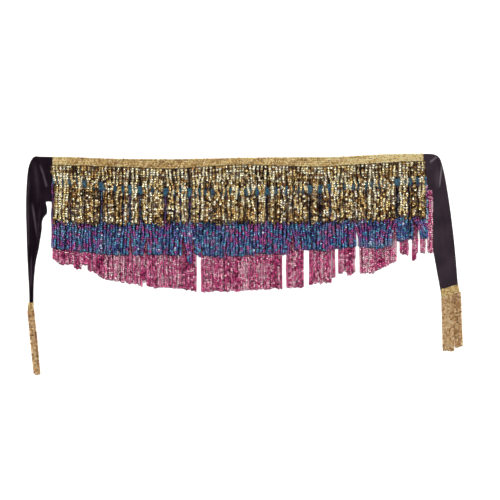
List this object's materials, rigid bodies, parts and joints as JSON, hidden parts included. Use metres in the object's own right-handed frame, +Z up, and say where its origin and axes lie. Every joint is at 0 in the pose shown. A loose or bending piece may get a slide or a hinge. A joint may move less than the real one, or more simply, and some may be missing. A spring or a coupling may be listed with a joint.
{
  "type": "belly dance hip scarf",
  "caption": "Black stretch hip scarf laid flat, with a sequinned band, rows of gold, blue and magenta sequin fringe, and two ties that end in gold fringe.",
  "frame": {"origin": "on the surface that the scarf lies on, under the middle of its outline", "axes": "+X along the waist, to the right as the scarf is seen from above; +Y up the cloth, from the fringe to the waist; +Z up from the surface, out of the scarf's face"},
  "size_m": [1.0904, 0.5536, 0.0089],
  "materials": {
    "cloth": "black stretch cloth with a soft nap",
    "gold": "cupped metallic gold sequins",
    "blue": "cupped metallic sequins in blue, turquoise and violet",
    "magenta": "cupped metallic magenta sequins"
  },
  "bodies": {
    "root": {"panel": "cloth", "left_tie": "cloth", "right_tie": "cloth", "gold_band": "gold", "blue_band": "blue", "magenta_band": "magenta", "left_tie_band": "gold", "right_tie_band": "gold", "gold_fringe": "gold", "blue_fringe": "blue", "magenta_fringe": "magenta", "left_tie_fringe": "gold", "right_tie_fringe": "gold"}
  },
  "joints": []
}
